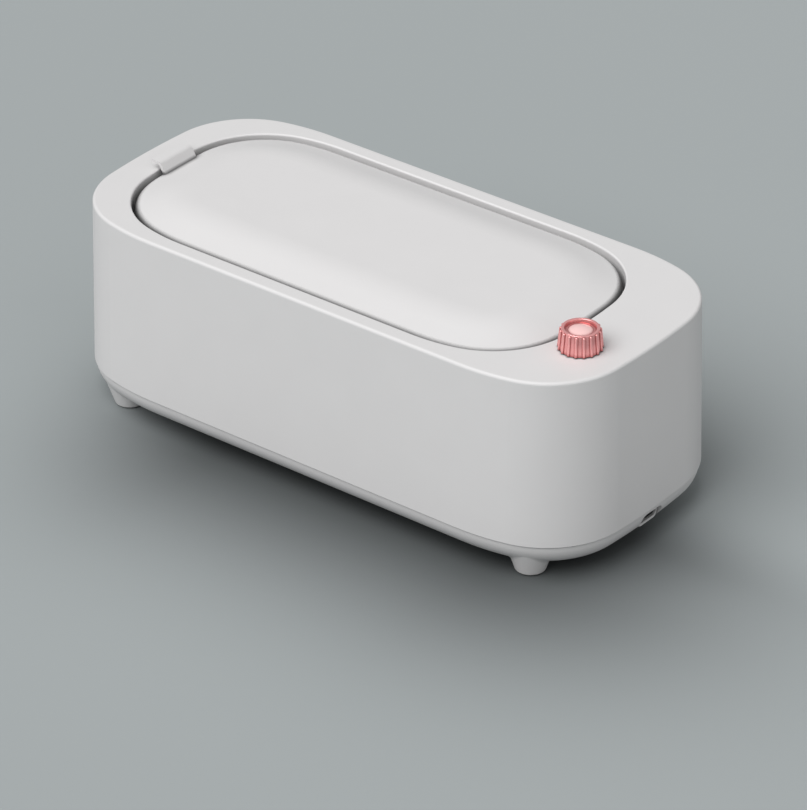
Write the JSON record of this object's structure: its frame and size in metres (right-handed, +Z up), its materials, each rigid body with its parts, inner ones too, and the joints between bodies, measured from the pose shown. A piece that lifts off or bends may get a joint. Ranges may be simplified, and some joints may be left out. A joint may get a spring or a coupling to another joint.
{
  "type": "ultrasonic contact lens cleaner",
  "caption": "Long rounded tabletop ultrasonic bath for contact lenses: crowned lift-off lid with a finger tab, ribbed rotary knob with push button, four feet and a USB-C inlet.",
  "frame": {"origin": "on the floor, under the middle of the body", "axes": "+X along the body to the end that has the knob and the inlet, -Y to the front, +Z up"},
  "size_m": [0.2026, 0.0928, 0.076],
  "materials": {
    "base": "fine matt moulded, light grey",
    "basket": "satin moulded, white",
    "black_plastic": "moulded",
    "capacitor_can": "sleeved can",
    "circuit_board": "green solder mask",
    "copper": "enamelled copper wire",
    "cream_plastic": "moulded",
    "electrode": "fired silver film",
    "encoder_case": "stamped",
    "ferrite": "sintered, dark grey",
    "housing": "fine matt moulded, light warm grey",
    "lid": "fine matt moulded, light warm grey",
    "liner": "satin moulded",
    "piezo_ceramic": "unglazed",
    "rose_button": "polished rose anodised",
    "rose_metal": "polished rose anodised",
    "screw_steel": "zinc plated",
    "shaft_metal": "turned",
    "silicone_pad": "soft silicone, light grey",
    "silicone_seal": "soft silicone, pale grey",
    "socket_steel": "nickel plated",
    "tank_steel": "satin deep-drawn stainless steel"
  },
  "bodies": {
    "base": {"upper_housing": "housing", "bottom_shell": "base", "foot_pads": "silicone_pad", "case_screws": "screw_steel", "tank": "tank_steel", "tank_gasket": "silicone_seal", "transducer": "piezo_ceramic", "transducer_electrode": "electrode", "encoder_body": "encoder_case", "push_switch": "black_plastic", "driver_board": "circuit_board", "control_board": "circuit_board", "usb_board": "circuit_board", "board_screws": "screw_steel", "transformer_core": "ferrite", "transformer_winding": "copper", "choke": "ferrite", "capacitors": "capacitor_can", "transistors": "black_plastic", "connectors": "cream_plastic", "usb_socket": "socket_steel", "usb_tongue": "black_plastic"},
    "lid": {"lid_cover": "lid", "lid_liner": "liner", "lid_seal": "silicone_seal"},
    "basket": {"lens_basket": "basket"},
    "dial": {"knob": "rose_metal", "encoder_shaft": "shaft_metal"},
    "button": {"knob_button": "rose_button", "switch_plunger": "black_plastic"}
  },
  "joints": [
    {"name": "lid_lift", "type": "slide", "parent": "base", "child": "lid", "axis": [0, 0, 1], "range_m": [0, 0.09]},
    {"name": "basket_lift", "type": "slide", "parent": "base", "child": "basket", "axis": [0, 0, 1], "range_m": [0, 0.045]},
    {"name": "knob_turn", "type": "hinge", "parent": "base", "child": "dial", "pos_m": [0.0836, -0.0153, 0.06965], "axis": [0, 0, 1], "continuous": true},
    {"name": "button_press", "type": "slide", "parent": "dial", "child": "button", "axis": [0, 0, -1], "range_m": [0, 0.0006], "stiffness_N_per_m": 1500}
  ],
  "couplings": [
    {"joint": "basket_lift", "follows": "lid_lift", "ratio": 0.5}
  ]
}
